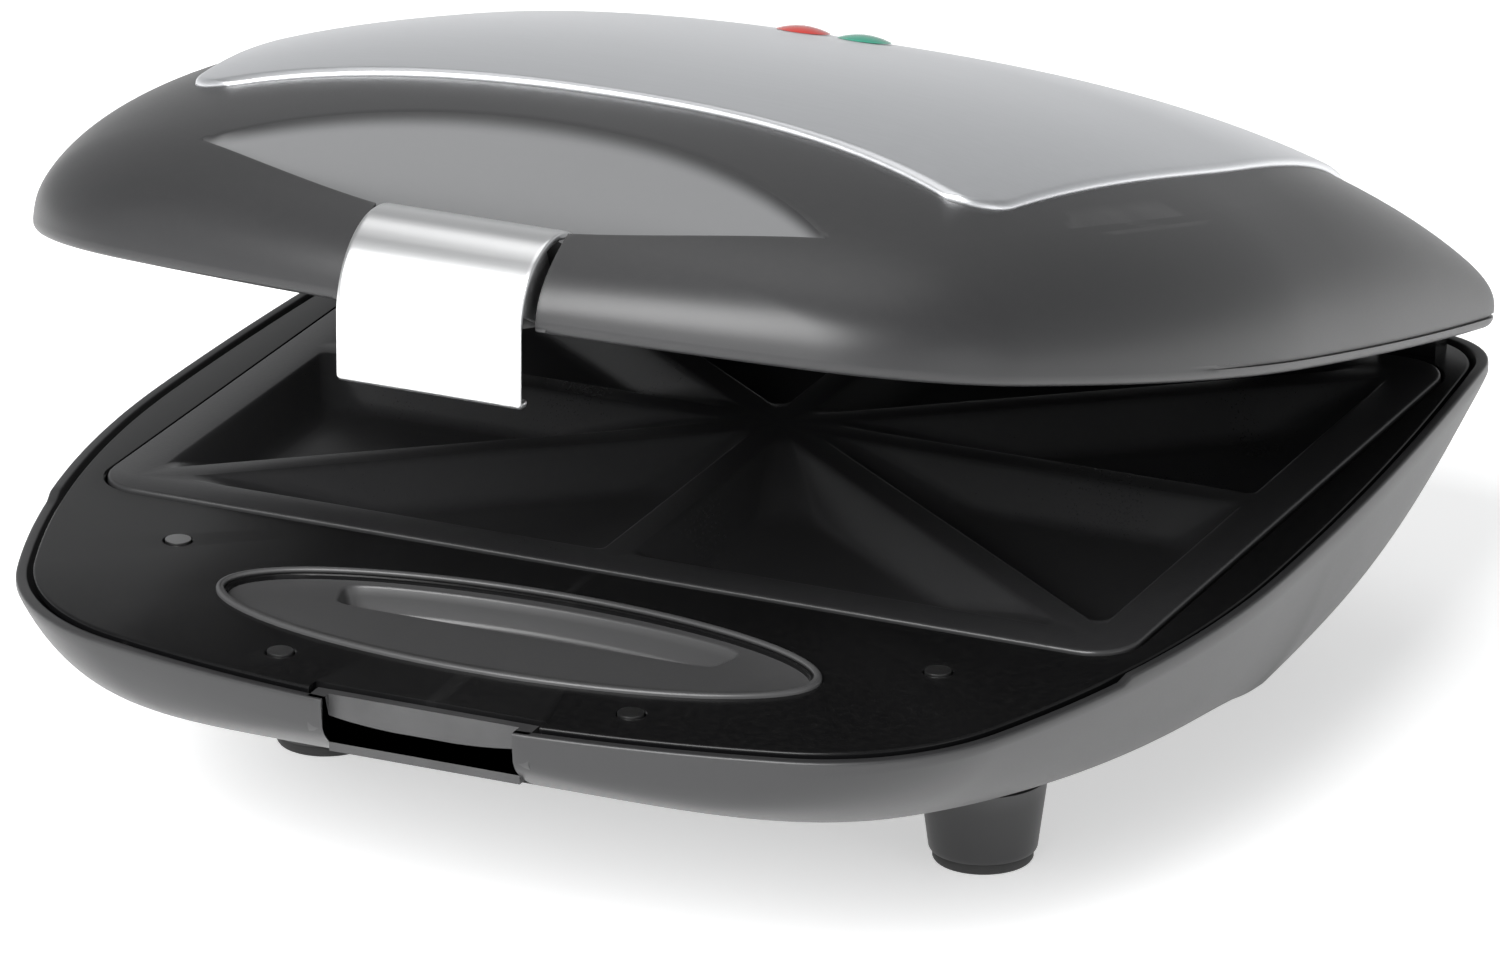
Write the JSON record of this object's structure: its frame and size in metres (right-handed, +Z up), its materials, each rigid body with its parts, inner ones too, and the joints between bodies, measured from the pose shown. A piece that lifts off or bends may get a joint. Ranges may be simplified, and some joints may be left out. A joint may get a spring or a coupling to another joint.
{
  "type": "sandwich toaster",
  "caption": "Clamshell sandwich toaster with a domed lid, metal top panel, front latch clip, indicator lamps and ribbed baking plates.",
  "frame": {"origin": "on the table under the middle of the part's box", "axes": "+Z up, +Y towards the hinges at the rear, +X to the right seen from the front"},
  "size_m": [0.31, 0.359, 0.1933],
  "materials": {
    "housing": "satin",
    "hinge_plastic": "satin",
    "deck_black": "gloss",
    "tray_grey": "satin",
    "plate_coating": "satin",
    "panel_metal": "satin",
    "clip_metal": "satin",
    "pin_steel": "satin",
    "element_steel": "matte",
    "reflector_metal": "satin",
    "ceramic": "matte",
    "lead_cover": "matte",
    "gland_rubber": "matte",
    "foot_plastic": "satin",
    "foot_rubber": "matte",
    "lens_red": "gloss",
    "lens_green": "gloss",
    "board": "satin",
    "lamp_glass": "gloss"
  },
  "bodies": {
    "base": {"base_housing": "housing", "base_frame": "deck_black", "handle_tray": "tray_grey", "lower_plate": "plate_coating", "lower_element": "element_steel", "lower_element_clamps": "pin_steel", "lower_reflector": "reflector_metal", "lower_plate_screws": "pin_steel", "thermostat": "ceramic", "terminal_block": "ceramic", "base_leads": "lead_cover", "cord_gland": "gland_rubber", "foot_front_left": "foot_plastic", "foot_front_right": "foot_plastic", "foot_rear_left": "foot_plastic", "foot_rear_right": "foot_plastic", "foot_pad_front_left": "foot_rubber", "foot_pad_front_right": "foot_rubber", "foot_pad_rear_left": "foot_rubber", "foot_pad_rear_right": "foot_rubber", "foot_screws": "pin_steel", "base_frame_screws": "pin_steel", "hinge_pins": "pin_steel", "base_hinges": "hinge_plastic"},
    "lid": {"lid_housing": "housing", "lid_hinges": "hinge_plastic", "lid_panel": "panel_metal", "power_lens": "lens_red", "ready_lens": "lens_green", "lamp_holder": "board", "neon_lamps": "lamp_glass", "lamp_leads": "lead_cover", "upper_frame": "deck_black", "upper_plate": "plate_coating", "upper_element": "element_steel", "upper_element_clamps": "pin_steel", "upper_reflector": "reflector_metal", "upper_plate_screws": "pin_steel", "thermal_fuse": "ceramic", "upper_frame_screws": "pin_steel", "latch_carrier": "hinge_plastic", "latch_pin": "pin_steel"},
    "latch": {"latch_clip": "clip_metal"}
  },
  "joints": [
    {"name": "lid_hinge", "type": "hinge", "parent": "base", "child": "lid", "pos_m": [0, 0.172, 0.0692], "axis": [-1, 0, 0], "range_deg": [-15.5, 80]},
    {"name": "latch_pivot", "type": "hinge", "parent": "lid", "child": "latch", "pos_m": [0, -0.15044, 0.16568], "axis": [1, 0, 0], "range_deg": [-25, 12]}
  ]
}
